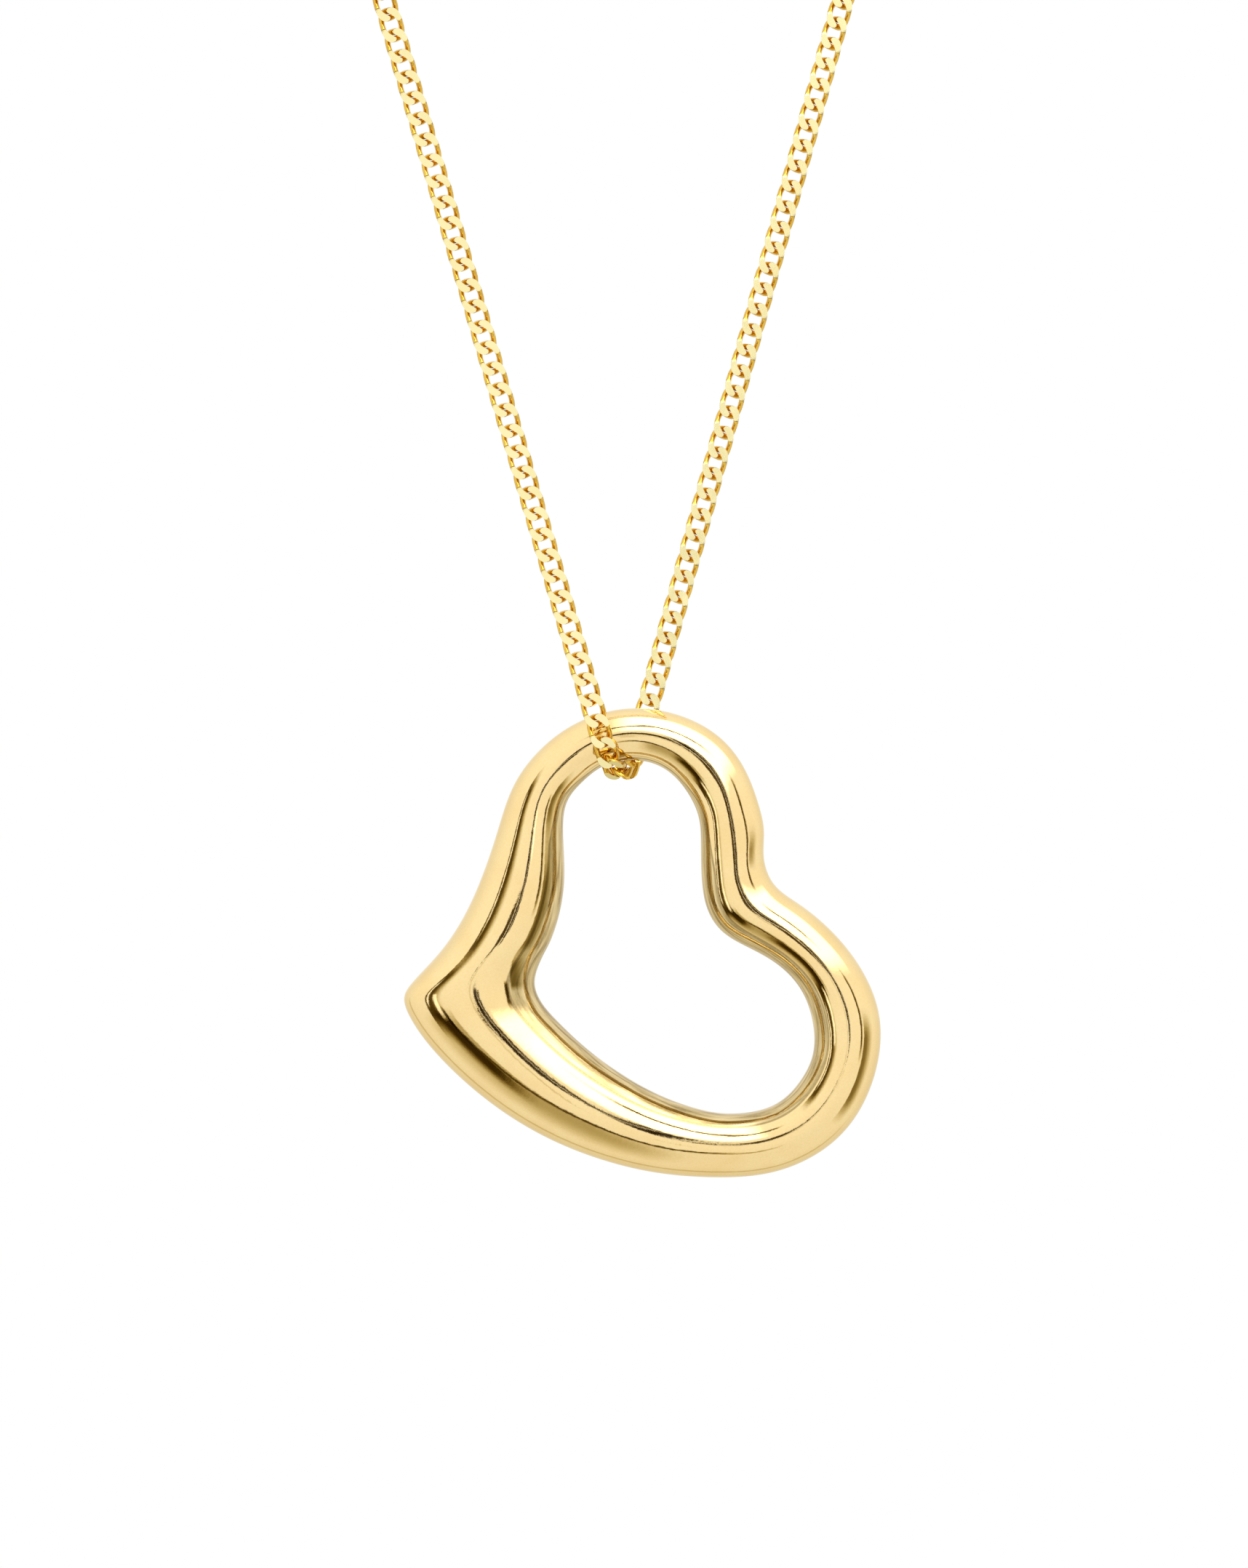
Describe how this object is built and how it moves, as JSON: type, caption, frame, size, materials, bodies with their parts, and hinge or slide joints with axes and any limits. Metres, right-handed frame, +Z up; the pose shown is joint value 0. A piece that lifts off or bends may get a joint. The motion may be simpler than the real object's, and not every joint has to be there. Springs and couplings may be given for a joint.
{
  "type": "pendant necklace",
  "caption": "Open heart pendant slung on a fine curb chain; the rest of the chain is wound in turns as on a display bar and closed by a spring-ring clasp.",
  "frame": {"origin": "centre of the display bar that the upper chain is wound on, in the middle of the necklace's depth", "axes": "+Z up, +Y along the display bar from the front of the necklace to its back, +X to the right seen from the front"},
  "size_m": [0.0314, 0.014, 0.0904],
  "materials": {
    "heart_gold": "mirror-polished yellow gold",
    "chain_gold": "diamond-cut polished yellow gold",
    "clasp_gold": "polished yellow gold",
    "spring_steel": "drawn spring wire"
  },
  "bodies": {
    "winding": {"front_winding": "chain_gold", "back_winding": "chain_gold", "front_end_links": "chain_gold", "back_end_links": "chain_gold", "clasp_case": "clasp_gold", "clasp_eye": "clasp_gold", "clasp_spring": "spring_steel"},
    "jump_ring": {"clasp_jump_ring": "clasp_gold"},
    "end_ring": {"catch_ring": "clasp_gold"},
    "trigger": {"clasp_bolt": "clasp_gold", "clasp_trigger": "clasp_gold"},
    "strands": {"left_strand_links": "chain_gold", "right_strand_links": "chain_gold", "saddle_side_links": "chain_gold"},
    "saddle": {"saddle_middle_link": "chain_gold"},
    "pendant": {"heart_pendant": "heart_gold"}
  },
  "joints": [
    {"name": "necklace_swing", "type": "hinge", "parent": "winding", "child": "strands", "pos_m": [0.00004, 0, -0.00426], "axis": [0.9163, 0.4005, 0.008], "range_deg": [-30, 30]},
    {"name": "pendant_rock", "type": "hinge", "parent": "strands", "child": "saddle", "pos_m": [0.0007, 0, -0.05487], "axis": [0, 1, 0], "range_deg": [-6, 6]},
    {"name": "pendant_swing", "type": "hinge", "parent": "saddle", "child": "pendant", "pos_m": [0.00049, 0, -0.0532], "axis": [1, 0, 0], "range_deg": [-20, 40]},
    {"name": "clasp_trigger_slide", "type": "hinge", "parent": "winding", "child": "trigger", "pos_m": [0.00058, 0.00075, 0.01588], "axis": [-0.0087, 0, 1], "range_deg": [0, 68], "stiffness_Nm_per_rad": 0.0008, "springref_deg": -17.19, "deforming": ["clasp_spring"]},
    {"name": "jump_ring_turn", "type": "hinge", "parent": "winding", "child": "jump_ring", "pos_m": [-0.00349, 0.00075, 0.01584], "axis": [0, 1, 0], "continuous": true},
    {"name": "catch_ring_turn", "type": "hinge", "parent": "winding", "child": "end_ring", "pos_m": [0.00297, 0.00075, 0.01597], "axis": [0, 1, 0], "continuous": true}
  ]
}
